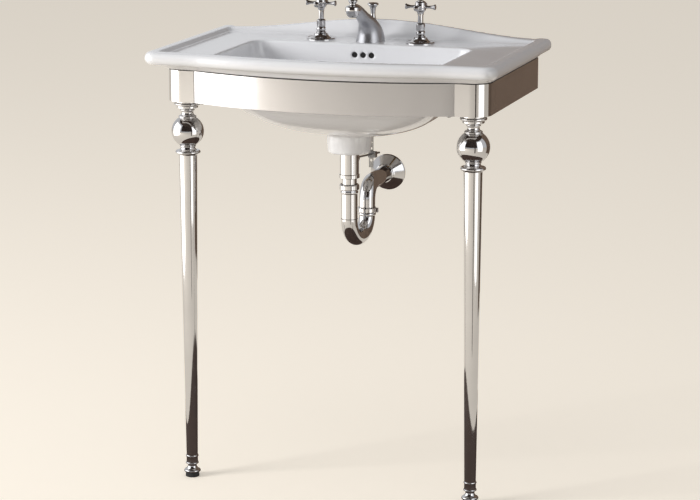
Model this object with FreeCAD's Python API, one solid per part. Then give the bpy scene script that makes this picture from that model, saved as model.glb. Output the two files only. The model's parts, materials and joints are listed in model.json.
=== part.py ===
import FreeCAD, Part
import math
import os

# Console sink with legs: a ceramic basin on a chromed frame with two turned front legs.
# Millimetres. +Z is up, the front faces -Y, the wall is the plane y = wall_y, the floor is z = 0.
# Sizes called "..._d" are distances out from the wall.

V = FreeCAD.Vector
up = V(0, 0, 1)
over = 1.0                 # how far a cut runs past its surface, and one fused solid into the next

# ---- basin ----
basin_width = 686.0
basin_depth = 454.0
rim_bow = 27.0             # how far the middle of the rim stands in front of its corners
rim_shoulder = 236.0       # half width of the bowed part of the rim
rim_blend = 260.0          # radius of the hollow between the bow and the corner
rim_corner = 26.0
corner_share = 0.7         # most of a plan's corner radius that an inset may take up
roll_height = 25.0         # rounded outer roll of the rim
roll_round = 12.2
rim_width = 27.0           # roll and inner lip, outside to recess
deck_recess = 8.0          # deck below the top of the rim
groove_inset = 20.0        # foot of the roll, in from its outermost line
band_height = 11.5         # sloping band under the roll
band_proud = 3.0           # band stands out from the apron below it
rib_width = 22.0           # rib under the band, which sits on the frame
bowl_half_width = 221.0
bowl_back_d = 133.0
bowl_inset = 50.0          # front of the bowl behind the front of the rim
bowl_bow = 860.0           # radius of the bowl's front wall in plan
bowl_depth = 144.0
bowl_floor_half_width = 55.0
bowl_floor_half_depth = 36.5
bowl_wall = 11.0
bowl_floor = 14.0
upstand_rise = 33.0        # crown of the upstand above the deck
upstand_end_rise = 6.0     # the same at its ends
upstand_thick = 15.0
upstand_cove = 30.0        # hollow between the upstand and the deck
upstand_root = 4.0         # upstand starts this far below the deck
tap_hole = 15.0
spout_hole = 17.5
spout_hole_d = 83.0
overflow_hole = 5.3
overflow_pitch = 17.0
overflow_drop = 22.0       # overflow holes below the deck
overflow_depth = 10.0      # front to back of the passage behind the bowl
overflow_half_width = 23.0
overflow_wall = 8.0
skirt_half_width = 215.0   # back wall that takes the hanger bolts
skirt_thick = 20.0
skirt_drop = 74.0
bolt_spacing = 280.0
bolt_hole = 7.0
bolt_drop = 56.0           # hanger bolts below the deck

# ---- frame ----
apron_bottom = 745.3
apron_height = 60.2
apron_inset = 29.0         # middle of the bowed front rail behind the middle of the rim
corner_inset = 47.5        # front flat of the corner posts behind the corners of the rim
frame_inset = 27.0         # side of the frame in from the side of the rim
corner_radius = 34.0
corner_flat = 27.0         # front flat of a corner post
corner_side_flat = 25.5    # side flat of a corner post
corner_proud = 1.5         # post stands out from the end of the bowed rail
rail_wall = 3.0
rail_flange = 18.0
rail_lip = 8.0             # top flange of the front rail, which leaves room for the bowl
rail_gap = 0.3             # seam between a rail and a post
post_wall = 4.0
post_inner_corner = 5.0    # inner corner of a post's flanges, in from the leg's axis
boss_radius = 20.0
tongue_thick = 9.0
tongue_reach = 26.0
tongue_root = 14.0
tongue_gap = 0.4
bracket_thick = 4.0
bracket_width = 44.0
bracket_hole = 3.25
bracket_pitch = 28.0
screw_radius = 2.5
screw_clearance = 0.3
screw_head = 4.4
screw_head_high = 3.0
screw_length = 14.0
pad_thick = 2.0
pad_length = 26.0
pad_width = 7.0
front_pad_x = (60.0, 180.0)
side_pad_d = (50.0, 170.0, 285.0)

# ---- legs ----
stud_radius = 5.0
stud_fit = 0.1
stud_top_gap = 4.0
collar_radius = 25.3
collar_step = 20.5
collar_height = 17.3
neck_radius = 12.0
neck_height = 16.6
neck_bead = 13.8
shoulder_bead = 16.3
ball_radius = 31.0
ball_foot = 14.5           # radius where the ball ends below
ring_radius = 24.0
ring_height = 17.6
tube_top_radius = 17.4
tube_bottom_radius = 11.0
tube_wall = 2.0
tube_plug = 26.0           # solid top end of the leg tube
foot_plug = 50.0           # solid bottom end, which takes the foot's stud
foot_collar_radius = 12.4
foot_collar_height = 18.0
foot_radius = 16.2
foot_height = 16.6
foot_neck = 8.5
foot_stud_length = 42.0
foot_running = 0.05
foot_gap = 0.4
foot_pad_radius = 13.5
foot_pad_height = 9.0

# ---- taps ----
tap_spacing = 203.2
tap_d = 85.5
valve_radius = 12.5
valve_rise = 8.0           # top of the valve above the deck, inside the tap body
valve_drop = 84.0          # deck to the bottom of the valve, above the inlet thread
valve_fit = 0.1
inlet_radius = 10.48
inlet_length = 14.0
inlet_bore = 7.0
port_drop = 61.0           # deck to the link pipes
port_radius = 8.0
port_reach = 22.0
port_socket = 8.0          # depth to which a link pipe enters a port
flange_radius = 29.0
flange_height = 11.0
body_radius = 8.9
body_height = 39.0
sleeve_radius = 5.4
sleeve_height = 55.0
spindle_radius = 4.0
spindle_running = 0.06
spindle_fit = 0.02
spindle_depth = 40.0
hub_radius = 10.5
hub_height = 19.0
hub_gap = 0.4
hub_skirt = 7.0
hub_roof = 3.0
arm_span = 62.0            # tip to tip
arm_level = 0.42           # height of the arms, as a share of the hub
arm_root = 4.2
arm_waist = 2.7
arm_end = 5.6
cap_radius = 6.4
cap_edge = 0.8
cap_crown = 1.8
nut_height = 9.0
valve_nut_width = 36.0
washer_thick = 2.5
washer_overhang = 7.0
link_radius = 5.0
link_wall = 1.0
link_fit = 0.1
link_nut_width = 17.0
link_nut_length = 11.0

# ---- spout ----
spout_d = 85.5             # middle of the spout's foot
spout_half_width = 28.0
spout_half_depth = 33.0
spout_end_d = 176.0
spout_end_radius = 9.5
waterway = 4.5
shank_d = 88.0
shank_radius = 8.5
shank_bore = 5.5
shank_rise = 15.0          # top of the shank above the deck
shank_nut_width = 22.0
tee_radius = 12.0
tee_height = 26.0
nozzle_d = 196.0
nozzle_rise = 74.5         # deck to the middle of the nozzle ring
nozzle_drop = 1.5          # axis of the spout's end below that
nozzle_radius = 14.2
nozzle_bore = 8.0
nozzle_outlet = 13.6       # ring to the outlet below it
nozzle_neck = 6.2
finial_radius = 8.6
finial_foot = 5.5
finial_crown = 12.5
aerator_height = 7.0
aerator_lip = 1.6
aerator_hole = 1.1
aerator_ring = 4.4
aerator_count = 6

# ---- pop-up waste ----
waste_d = 217.5
waste_hole = 23.5
flange_lip = 32.0
flange_lip_high = 3.0
flange_length = 42.0
waste_thread = 22.5
waste_tube = 18.5
waste_bore = 16.0
waste_fit = 0.05
boss_outer = 44.0
boss_foot = 41.0
boss_depth = 54.5          # bowl floor to the foot of the ceramic boss
boss_recess = 33.0
boss_recess_depth = 27.5
waste_nut_width = 52.0
waste_nut_height = 11.0
waste_seal_thick = 3.0
slot_width = 14.0          # overflow slot in the waste flange
slot_height = 6.6
slot_drop = 12.3
pivot_drop = 70.0          # bowl floor to the pivot
pivot_above = 53.0         # pivot to the top of the waste body
pivot_below = 34.0         # pivot to the foot of the waste body
pivot_reach = 25.0         # waste axis to the pivot ball
pivot_ball = 5.0
pivot_running = 0.05
pivot_port = 7.6
pivot_port_reach = 4.0     # ball centre to the end of its port
pivot_nut_radius = 10.5
pivot_nut_length = 10.0
pivot_nut_cap = 4.5
pivot_rod = 2.0
pivot_rod_end = 4.0        # rod past the stopper's eye
pivot_rest = 6.0           # degrees the rod slopes down towards the wall at rest
pivot_tail = 165.0         # pivot ball to the far end of the rod
lift_d = 70.0
lift_radius = 2.5
lift_running = 0.06
guide_wall = 3.6
strap_d = 80.0
strap_width = 9.0
strap_thick = 1.5
strap_top = 694.0
strap_bottom = 584.0
strap_slack = 0.7
strap_pitch = 12.0
strap_margin = 5.0
clamp_height = 12.0
clamp_wall = 2.5
clamp_screw = 2.0
clamp_screw_head = 4.6
clamp_screw_head_long = 7.0
knob_rise = 43.0           # deck to the foot of the knob
knob_gap = 0.3
knob_radius = 11.0
knob_neck = 5.6
knob_height = 30.0
knob_socket = 18.0
clip_gap = 6.0             # strap to each leg of the spring clip
clip_reach = 10.5
clip_half_height = 6.0
clip_thick = 1.0
clip_fit = 0.05
stopper_radius = 21.0
stopper_edge = 1.2
stopper_crown = 3.8
stopper_open = 7.66
stopper_seat_gap = 0.3
stopper_stem = 3.0
stopper_fin = 15.6
stopper_fin_thick = 1.6
stopper_fin_height = 30.0
stopper_eye = 3.0
stopper_eye_wall = 2.6
stopper_eye_thick = 5.0
stopper_seal_radius = 18.0
stopper_seal_thick = 2.0
tail_ring = 19.8
tail_ring_height = 8.0
tail_radius = 14.3
tail_wall = 1.2
tail_length = 74.0
tail_fit = 0.1

# ---- trap ----
trap_tube = 15.9
trap_wall = 1.4
trap_inlet_top = 569.0
trap_joint = 508.0         # top of the bend at its inlet
trap_joint_gap = 0.3
trap_centre = 504.0
trap_outlet_rise = 4.0     # outlet of the bend above its inlet
trap_outlet_d = 137.5
trap_side = 10.0           # the outlet lies this far to the right of the waste
trap_fit = 0.15
slip_seal_thick = 2.2
inlet_nut_radius = 19.3
inlet_nut_top = 575.8
inlet_nut_height = 18.0
outlet_nut_radius = 18.2
outlet_nut_top = 516.5
outlet_nut_height = 16.5
outlet_nut_fit = 0.3
lug_thick = 4.4
lug_reach = 4.5
arm_height = 561.5
arm_bend = 32.0
arm_spigot = 12.0          # end of the arm that enters the seal in the wall
arm_draw = 0.2             # and how far it is drawn in there
escutcheon_radius = 36.0
escutcheon_collar = 18.2
escutcheon_depth = 27.0
escutcheon_wall = 1.6

# ---- worked out from the sizes above ----
wall_y = basin_depth / 2
frame_top = apron_bottom + apron_height
basin_bottom = frame_top + pad_thick
roll_bottom = basin_bottom + band_height
rim_top = roll_bottom + roll_height
deck_top = rim_top - deck_recess
deck_under = roll_bottom
bowl_bottom = deck_top - bowl_depth
bowl_front_d = basin_depth - bowl_inset
frame_half_width = basin_width / 2 - frame_inset
apron_front_d = basin_depth - apron_inset
corner_front_d = basin_depth - rim_bow - corner_inset
leg_x = frame_half_width - corner_radius
leg_d = corner_front_d - corner_radius
post_edge = leg_x - corner_flat
post_back_d = leg_d - corner_side_flat
bow_sag = apron_front_d - corner_front_d + corner_proud
bow_radius = (post_edge ** 2 + bow_sag ** 2) / (2 * bow_sag)
tongue_low = apron_bottom + rail_wall + tongue_gap
tongue_high = frame_top - rail_wall - tongue_gap
tongue_front = corner_front_d - corner_proud - rail_wall - tongue_gap
tongue_side = frame_half_width - rail_wall - tongue_gap
collar_bottom = apron_bottom - collar_height
shoulder_z = collar_bottom - neck_height
ball_z = shoulder_z - math.sqrt(ball_radius ** 2 - shoulder_bead ** 2)
ball_bottom = ball_z - math.sqrt(ball_radius ** 2 - ball_foot ** 2)
tube_top = ball_bottom - ring_height
foot_top = foot_pad_height + foot_height
foot_collar_bottom = foot_top + foot_gap
tube_bottom = foot_collar_bottom + foot_collar_height
tap_x = tap_spacing / 2
port_z = deck_top - port_drop
valve_top = deck_top + valve_rise
valve_bottom = deck_top - valve_drop
spindle_bottom = deck_top - spindle_depth
sleeve_top = deck_top + sleeve_height
hub_bottom = sleeve_top + hub_gap + hub_skirt
hub_top = hub_bottom + hub_height
nozzle_z = deck_top + nozzle_rise
spout_end_z = nozzle_z - nozzle_drop
shank_top = deck_top + shank_rise
pivot_z = bowl_bottom - pivot_drop
pivot_d = waste_d - pivot_reach
body_top = pivot_z + pivot_above
body_bottom = pivot_z - pivot_below
rest_angle = math.radians(pivot_rest)
rod_at_strap = pivot_z - (pivot_d - strap_d) * math.tan(rest_angle)
eye_z = pivot_z + pivot_reach * math.tan(rest_angle)
knob_bottom = deck_top + knob_rise
recess_top = bowl_bottom - boss_depth + boss_recess_depth
lip_top = bowl_bottom + flange_lip_high
stopper_seat = lip_top + stopper_seat_gap + stopper_open
trap_outlet_z = trap_joint + trap_outlet_rise


def mix(first, last, share):
    return first + (last - first) * share


def wall(distance):
    return wall_y - distance


def box(x0, x1, d0, d1, z0, z1):
    return Part.makeBox(x1 - x0, d0 - d1, z1 - z0, V(x0, wall(d0), z0))


def upright(radius, z0, z1, x, d):
    return Part.makeCylinder(radius, z1 - z0, V(x, wall(d), z0))


def pipe(radius, bore, z0, z1, x, d):
    return upright(radius, z0, z1, x, d).cut(upright(bore, z0, z1, x, d))


def along_x(radius, x0, x1, d, z):
    start, end = sorted((x0, x1))
    return Part.makeCylinder(radius, end - start, V(start, wall(d), z), V(1, 0, 0))


def along_y(radius, d0, d1, x, z):
    return Part.makeCylinder(radius, d0 - d1, V(x, wall(d0), z), V(0, 1, 0))


def mirrored(shape):
    return shape.mirror(V(0, 0, 0), V(1, 0, 0))


# A solid turned about the Z axis. A step of two numbers is a line to that radius and height;
# a step of four is an arc through the first pair to the second.
def lathe(start, *steps):
    edges = []
    here = V(start[0], 0, start[1])
    for step in steps + (start,):
        there = V(step[-2], 0, step[-1])
        if len(step) == 4:
            middle = V(step[0], 0, step[1])
            edges.append(Part.Arc(here, middle, there).toShape())
        else:
            edges.append(Part.LineSegment(here, there).toShape())
        here = there
    return Part.Face(Part.Wire(edges)).revolve(V(0, 0, 0), up, 360)


def turned(x, d, start, *steps):
    solid = lathe(start, *steps)
    solid.translate(V(x, wall(d), 0))
    return solid


# The same between two heights: each step's heights are shares of the way from z0 to z1.
def ornament(x, d, z0, z1, *steps):
    placed = []
    for step in steps:
        placed.append([mix(z0, z1, value) if k % 2 else value for k, value in enumerate(step)])
    return turned(x, d, *placed)


# The step of a lathe that closes a piece with a spherical crown.
def crown(radius, z, rise):
    half = math.atan2(rise, radius)
    ball = (radius ** 2 + rise ** 2) / (2 * rise)
    return ball * math.sin(half), z + rise - ball * (1 - math.cos(half)), 0, z + rise


def hexagon(width, z0, z1, x, d):
    corner = width / math.sqrt(3)
    points = []
    for k in range(7):
        angle = math.radians(60 * k)
        points.append(V(x + corner * math.cos(angle), wall(d) + corner * math.sin(angle), z0))
    return Part.Face(Part.makePolygon(points)).extrude(V(0, 0, z1 - z0))


def hex_nut(width, bore, z0, z1, x, d):
    return hexagon(width, z0, z1, x, d).cut(upright(bore, z0 - over, z1 + over, x, d))


def outline(*curves):
    return Part.Wire([curve.toShape() for curve in curves])


def save(name, *solids):
    shape = solids[0] if len(solids) == 1 else Part.makeCompound(list(solids))
    shape.exportStep("parts/" + name + ".step")
    print(name, len(shape.Solids), round(shape.Volume / 1000, 2), shape.isValid())


# ---- basin ----

# The plan of the basin at one height: straight sides, rounded corners and a bowed front.
def plan(half_width, front_d, bow, shoulder, blend, corner, z):
    flat = wall(front_d - bow)
    front_radius = (shoulder ** 2 + bow ** 2) / (2 * bow)
    centre = wall(front_d) + front_radius
    blend_y = flat - blend
    blend_x = math.sqrt((front_radius + blend) ** 2 - (blend_y - centre) ** 2)
    reach = front_radius / (front_radius + blend)
    meet = V(blend_x * reach, centre + (blend_y - centre) * reach, z)
    turn = math.atan2(meet.y - blend_y, meet.x - blend_x)
    halfway = (turn + math.pi / 2) / 2
    hollow = V(blend_x + blend * math.cos(halfway), blend_y + blend * math.sin(halfway), z)
    slant = corner * (1 - math.sqrt(0.5))
    side = [V(half_width, wall_y, z), V(half_width, flat + corner, z),
            V(half_width - slant, flat + slant, z), V(half_width - corner, flat, z),
            V(blend_x, flat, z), hollow, meet]
    left = [V(-p.x, p.y, p.z) for p in side]
    middle = V(0, wall(front_d), z)
    return outline(Part.LineSegment(left[0], left[1]), Part.Arc(left[1], left[2], left[3]),
                   Part.LineSegment(left[3], left[4]), Part.Arc(left[4], left[5], left[6]),
                   Part.Arc(left[6], middle, side[6]), Part.Arc(side[6], side[5], side[4]),
                   Part.LineSegment(side[4], side[3]), Part.Arc(side[3], side[2], side[1]),
                   Part.LineSegment(side[1], side[0]), Part.LineSegment(side[0], left[0]))


def rim_plan(inset, z):
    return plan(basin_width / 2 - inset, basin_depth - inset, rim_bow, rim_shoulder, rim_blend,
                rim_corner - min(inset, corner_share * rim_corner), z)


def frame_plan(inset, z):
    bow = apron_front_d - corner_front_d
    return plan(frame_half_width - inset, apron_front_d - inset, bow, post_edge, rim_blend,
                corner_radius - min(inset, corner_share * corner_radius), z)


# The bowl at one height: a rounded rectangle whose front wall is bowed.
def bowl_plan(half_width, back_d, front_d, corner, z):
    bow_d = front_d - bowl_bow
    centre_x = half_width - corner
    centre_d = bow_d + math.sqrt((bowl_bow - corner) ** 2 - centre_x ** 2)
    reach = bowl_bow / (bowl_bow - corner)
    meet_x = centre_x * reach
    meet_d = bow_d + (centre_d - bow_d) * reach
    halfway = math.atan2(meet_d - centre_d, meet_x - centre_x) / 2
    slant = corner * math.sqrt(0.5)
    right = [V(centre_x, wall(back_d), z), V(centre_x + slant, wall(back_d + corner - slant), z),
             V(half_width, wall(back_d + corner), z), V(half_width, wall(centre_d), z),
             V(centre_x + corner * math.cos(halfway), wall(centre_d + corner * math.sin(halfway)), z),
             V(meet_x, wall(meet_d), z)]
    left = [V(-p.x, p.y, p.z) for p in right]
    front = V(0, wall(front_d), z)
    return outline(Part.Arc(right[0], right[1], right[2]), Part.LineSegment(right[2], right[3]),
                   Part.Arc(right[3], right[4], right[5]), Part.Arc(right[5], front, left[5]),
                   Part.Arc(left[5], left[4], left[3]), Part.LineSegment(left[3], left[2]),
                   Part.Arc(left[2], left[1], left[0]), Part.LineSegment(left[0], right[0]))


# Rows of shares: depth, how far the side walls and the end walls have drawn in from the mouth
# to the floor, and the corner radius as a share of half the bowl's front-to-back size there.
bowl_shape = [(0.0, 0.0, 0.0, 0.22), (0.32, 0.06, 0.09, 0.35), (0.64, 0.217, 0.29, 0.59),
              (0.85, 0.47, 0.57, 0.85), (0.96, 0.77, 0.83, 0.85), (1.0, 1.0, 1.0, 0.66)]


def bowl_solid(grow, drop, lift):
    wires = []
    for deep, side, end, corner in bowl_shape:
        z = mix(deck_top + lift, bowl_bottom - drop, deep)
        half_width = mix(bowl_half_width, bowl_floor_half_width, side) + grow
        back = mix(bowl_back_d, waste_d - bowl_floor_half_depth, end) - grow
        front = mix(bowl_front_d, waste_d + bowl_floor_half_depth, end) + grow
        wires.append(bowl_plan(half_width, back, front, corner * (front - back) / 2, z))
    return Part.makeLoft(wires, True, False, False, 3)


# The passage behind the bowl from the overflow holes down to the waste.
def overflow_solid(grow, top):
    x = -overflow_half_width - grow
    inner = []
    outer = []
    for deep, side, end, corner in bowl_shape[:5]:
        z = min(mix(deck_top - bowl_wall / 2, bowl_bottom - bowl_floor, deep), top)
        near = mix(bowl_back_d, waste_d - bowl_floor_half_depth, end) - bowl_wall
        inner.append(V(x, wall(near + 3 * over), z))
        outer.append(V(x, wall(near - overflow_depth - grow), z - grow * deep))
    foot = bowl_bottom - bowl_floor
    meet = wall(waste_d - waste_hole + 4 * over)
    inner.append(V(x, meet, foot + over))
    outer.append(V(x, meet, foot - overflow_depth - grow - 2 * over))
    points = inner + outer[::-1] + inner[:1]
    return Part.Face(Part.makePolygon(points)).extrude(V(2 * (overflow_half_width + grow), 0, 0))


def upstand_top(x, end):
    swing = 0.5 + 0.5 * math.cos(math.pi * x / end)
    return deck_top + mix(upstand_end_rise, upstand_rise, swing)


# The upstand swings down from its crown to the ends and meets the deck in a cove.
def upstand():
    end = basin_width / 2 - roll_round
    low = deck_top - upstand_root
    crest = Part.BSplineCurve()
    knots = [end * k / 4 for k in range(-4, 5)]
    points = [V(x, wall(0), upstand_top(x, end)) for x in knots]
    crest.interpolate(points)
    down = V(end, wall(0), low)
    back = V(-end, wall(0), low)
    front = outline(crest, Part.LineSegment(points[-1], down), Part.LineSegment(down, back),
                    Part.LineSegment(back, points[0]))
    high = deck_top + upstand_rise + over
    thick = wall(upstand_thick)
    out = wall(upstand_thick + upstand_cove)
    bend = upstand_cove * (1 - math.sqrt(0.5))
    side = [V(-end, wall(0), low), V(-end, wall(0), high), V(-end, thick, high),
            V(-end, thick, deck_top + upstand_cove), V(-end, thick - bend, deck_top + bend),
            V(-end, out, deck_top), V(-end, out, low)]
    section = outline(Part.LineSegment(side[0], side[1]), Part.LineSegment(side[1], side[2]),
                      Part.LineSegment(side[2], side[3]), Part.Arc(side[3], side[4], side[5]),
                      Part.LineSegment(side[5], side[6]), Part.LineSegment(side[6], side[0]))
    face = Part.Face(front).extrude(V(0, -upstand_thick - upstand_cove, 0))
    return face.common(Part.Face(section).extrude(V(2 * end, 0, 0)))


# The rim with its rounded roll, and the deck recessed inside it.
def rim():
    plate = Part.Face(rim_plan(0, roll_bottom)).extrude(V(0, 0, roll_height))
    outer = [edge for edge in plate.Edges
             if edge.BoundBox.ZLength < 0.01 and edge.BoundBox.YMin < wall_y - over]
    plate = plate.makeFillet(roll_round, outer)
    return plate.cut(Part.Face(rim_plan(rim_width, deck_top)).extrude(V(0, 0, deck_recess + over)))


# The sloping band under the roll and the rib inside it, which stands on the frame.
def band():
    high = roll_bottom + over
    solid = Part.makeLoft([rim_plan(groove_inset, high), frame_plan(-band_proud, basin_bottom)], True, True)
    inside = Part.Face(frame_plan(rib_width, basin_bottom - over))
    return solid.cut(inside.extrude(V(0, 0, high - basin_bottom + over)))


def basin():
    skirt = box(-skirt_half_width, skirt_half_width, skirt_thick, 0, deck_top - skirt_drop, deck_under + over)
    boss_bottom = bowl_bottom - boss_depth
    boss_top = bowl_bottom - bowl_floor / 2
    boss = turned(0, waste_d, (0, boss_top), (boss_outer, boss_top),
                  (boss_outer, bowl_bottom - boss_depth / 2), (boss_foot, boss_bottom), (0, boss_bottom))
    shell = bowl_solid(bowl_wall, bowl_floor, -bowl_wall / 2)
    passage_wall = overflow_solid(overflow_wall, deck_under + over)
    body = rim().fuse([band(), skirt, shell, boss, upstand(), passage_wall])
    mouth = Part.Face(bowl_plan(bowl_half_width, bowl_back_d, bowl_front_d,
                                bowl_shape[0][3] * (bowl_front_d - bowl_back_d) / 2, deck_top - 0.01))
    body = body.cut(bowl_solid(0, 0, 0).fuse(mouth.extrude(V(0, 0, over))))
    body = body.cut(overflow_solid(0, deck_top - overflow_drop + overflow_hole + 2 * over))
    low = deck_under - over
    tools = [upright(waste_hole, boss_bottom, bowl_bottom + over, 0, waste_d),
             upright(boss_recess, boss_bottom - over, recess_top, 0, waste_d),
             upright(spout_hole, low, deck_top + over, 0, spout_hole_d)]
    for side in (-1, 1):
        tools.append(upright(tap_hole, low, deck_top + over, side * tap_x, tap_d))
        tools.append(along_y(bolt_hole, skirt_thick + over, -over, side * bolt_spacing / 2,
                             deck_top - bolt_drop))
    for k in (-1, 0, 1):
        tools.append(along_y(overflow_hole, bowl_back_d + bowl_wall, bowl_back_d - bowl_wall - 3 * over,
                             k * overflow_pitch, deck_top - overflow_drop))
    return body.cut(tools)


# ---- frame ----

def bow_ring(outer, inner, z0, z1):
    centre_d = apron_front_d - bow_radius
    half = post_edge - rail_gap
    back = corner_front_d - rail_flange - 2 * rail_lip
    ring = pipe(outer, inner, z0, z1, 0, centre_d)
    return ring.common(box(-half, half, apron_front_d + over, back, z0, z1))


def bow_d(x):
    return apron_front_d - bow_radius + math.sqrt(bow_radius ** 2 - x ** 2)


def screw_places():
    side_x = tongue_side - tongue_thick / 2
    front = (post_edge - tongue_reach / 2, tongue_front - tongue_thick / 2)
    side = (side_x, post_back_d - tongue_reach / 2)
    back = (side_x, bracket_thick + tongue_reach / 2)
    return [(sign * x, d) for sign in (-1, 1) for x, d in (front, side, back)]


def screw_holes(clearance):
    high = apron_bottom + screw_length + over / 2
    return [upright(screw_radius + clearance, apron_bottom - over, high, x, d) for x, d in screw_places()]


def front_rail():
    web = bow_ring(bow_radius, bow_radius - rail_wall, apron_bottom, frame_top)
    low = bow_ring(bow_radius, bow_radius - rail_flange, apron_bottom, apron_bottom + rail_wall)
    high = bow_ring(bow_radius, bow_radius - rail_lip, frame_top - rail_wall, frame_top)
    return web.fuse([low, high]).removeSplitter().cut(screw_holes(screw_clearance))


def side_rail():
    inner = frame_half_width - rail_flange
    start = post_back_d - rail_gap
    bar = box(inner, frame_half_width, start, 0, apron_bottom, frame_top)
    hollow = box(inner - over, frame_half_width - rail_wall, start + over, -over,
                 apron_bottom + rail_wall, frame_top - rail_wall)
    return bar.cut([hollow] + screw_holes(screw_clearance))


# The right-hand post: a quarter round on the leg's axis with a short flat each way.
def post_plan(inset, depth, z):
    slant = (corner_radius - inset) * math.sqrt(0.5)
    front = wall(corner_front_d - inset)
    side = frame_half_width - inset
    back = wall(post_back_d)
    inner = frame_half_width - depth
    rear = wall(corner_front_d - depth)
    points = [V(post_edge, front, z), V(leg_x, front, z), V(leg_x + slant, wall(leg_d) - slant, z),
              V(side, wall(leg_d), z), V(side, back, z), V(inner, back, z),
              V(inner, wall(leg_d - post_inner_corner), z), V(leg_x - post_inner_corner, rear, z),
              V(post_edge, rear, z)]
    curves = [Part.LineSegment(points[0], points[1]), Part.Arc(points[1], points[2], points[3])]
    for first, last in zip(points[3:], points[4:] + points[:1]):
        curves.append(Part.LineSegment(first, last))
    return Part.Face(outline(*curves))


def corner_post():
    shape = post_plan(0, rail_flange, apron_bottom).extrude(V(0, 0, apron_height))
    pocket = post_plan(post_wall, 2 * rail_flange, apron_bottom + post_wall)
    shape = shape.cut(pocket.extrude(V(0, 0, apron_height - 2 * post_wall)))
    root = post_edge + tongue_root
    side_root = post_back_d + tongue_root
    tongues = [box(post_edge - tongue_reach, root, tongue_front, tongue_front - tongue_thick,
                   tongue_low, tongue_high),
               box(post_edge, root, corner_front_d - post_wall / 2, tongue_front - tongue_thick,
                   tongue_low, tongue_high),
               box(tongue_side - tongue_thick, tongue_side, side_root, post_back_d - tongue_reach,
                   tongue_low, tongue_high),
               box(tongue_side - tongue_thick, frame_half_width - post_wall / 2, side_root, post_back_d,
                   tongue_low, tongue_high)]
    boss = upright(boss_radius, apron_bottom, frame_top, leg_x, leg_d)
    stud = upright(stud_radius + stud_fit, apron_bottom - over, frame_top + over, leg_x, leg_d)
    return shape.fuse([boss] + tongues).removeSplitter().cut([stud] + screw_holes(stud_fit))


# The right-hand bracket: a plate on the wall with a tongue that the side rail slides over.
def wall_bracket():
    right = tongue_side
    plate = box(right - bracket_width, right, bracket_thick, 0, tongue_low, tongue_high)
    tongue = box(right - tongue_thick, right, bracket_thick + tongue_reach, bracket_thick / 2,
                 tongue_low, tongue_high)
    middle = (tongue_low + tongue_high) / 2
    holes = [along_y(bracket_hole, bracket_thick + over, -over, leg_x, middle + k * bracket_pitch / 2)
             for k in (-1, 1)]
    return plate.fuse(tongue).removeSplitter().cut(holes + screw_holes(stud_fit))


def rail_screws():
    low = apron_bottom - screw_head_high
    high = apron_bottom + screw_length
    solids = []
    for x, d in screw_places():
        solids.append(turned(x, d, (0, low), (screw_head - 1.0, low), (screw_head, low + 1.0),
                             (screw_head, apron_bottom), (screw_radius, apron_bottom),
                             (screw_radius, high), (0, high)))
    return solids


def basin_pads():
    solids = []
    for x in [sign * x for sign in (-1, 1) for x in front_pad_x]:
        pad = Part.makeBox(pad_length, pad_width, pad_thick, V(-pad_length / 2, -pad_width / 2, frame_top))
        pad.rotate(V(0, 0, 0), up, math.degrees(math.asin(x / bow_radius)))
        pad.translate(V(x, wall(bow_d(x) - rail_lip / 2), 0))
        solids.append(pad)
    for x in (rail_flange / 2 - frame_half_width, frame_half_width - rail_flange / 2):
        for d in side_pad_d:
            solids.append(box(x - pad_width / 2, x + pad_width / 2, d + pad_length / 2, d - pad_length / 2,
                              frame_top, basin_bottom))
    return solids


# ---- legs ----

def leg_collar(x):
    bore = stud_radius + stud_fit
    r = collar_radius
    step = collar_step
    return ornament(x, leg_d, apron_bottom, collar_bottom, (bore, 0), (step + 1.0, 0), (step + 1.0, 0.22),
                    (r - 1.6, 0.25), (r, 0.4, r - 1.6, 0.55), (step - 0.6, 0.59), (step, 0.64), (step, 0.83),
                    (step - 3.0, 0.94, neck_bead, 1), (bore, 1))


def leg_ball(x):
    bore = stud_radius + stud_fit
    top = collar_bottom
    low = shoulder_z
    return turned(x, leg_d, (bore, top), (neck_bead - 1.0, top),
                  (neck_bead, mix(top, low, 0.1), neck_bead - 1.0, mix(top, low, 0.2)),
                  (neck_radius, mix(top, low, 0.24)),
                  (neck_radius - 0.6, mix(top, low, 0.5), neck_radius + 1.4, mix(top, low, 0.69)),
                  (shoulder_bead - 1.0, mix(top, low, 0.75)),
                  (shoulder_bead + 0.8, mix(top, low, 0.86), shoulder_bead, low),
                  (ball_radius, ball_z, ball_foot, ball_bottom), (bore, ball_bottom))


def leg_ring(x):
    bore = stud_radius + stud_fit
    foot = ball_foot
    return ornament(x, leg_d, ball_bottom, tube_top, (bore, 0), (foot, 0), (foot + 0.9, 0.07, foot, 0.15),
                    (foot - 0.6, 0.19), (foot + 1.2, 0.41, ring_radius - 4.0, 0.5),
                    (ring_radius, 0.69, ring_radius - 3.0, 0.9), (tube_top_radius + 1.0, 1), (bore, 1))


# A tapered tube with a solid plug at each end: the upper takes the leg stud, the lower the foot.
def leg_tube(x):
    low = tube_bottom + foot_plug
    high = tube_top - tube_plug
    fall = (tube_top_radius - tube_bottom_radius) / (tube_top - tube_bottom)
    outer = turned(x, leg_d, (0, tube_bottom), (tube_bottom_radius, tube_bottom), (tube_top_radius, tube_top),
                   (0, tube_top))
    inner = turned(x, leg_d, (0, low), (tube_bottom_radius + fall * (low - tube_bottom) - tube_wall, low),
                   (tube_top_radius - fall * (tube_top - high) - tube_wall, high), (0, high))
    return outer.cut([inner, upright(stud_radius + stud_fit, high - over, tube_top + over, x, leg_d),
                      upright(stud_radius + foot_running, tube_bottom - over, low + over, x, leg_d)])


def leg_stud(x):
    return upright(stud_radius, tube_top - tube_plug + stud_top_gap, frame_top - stud_top_gap, x, leg_d)


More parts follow.
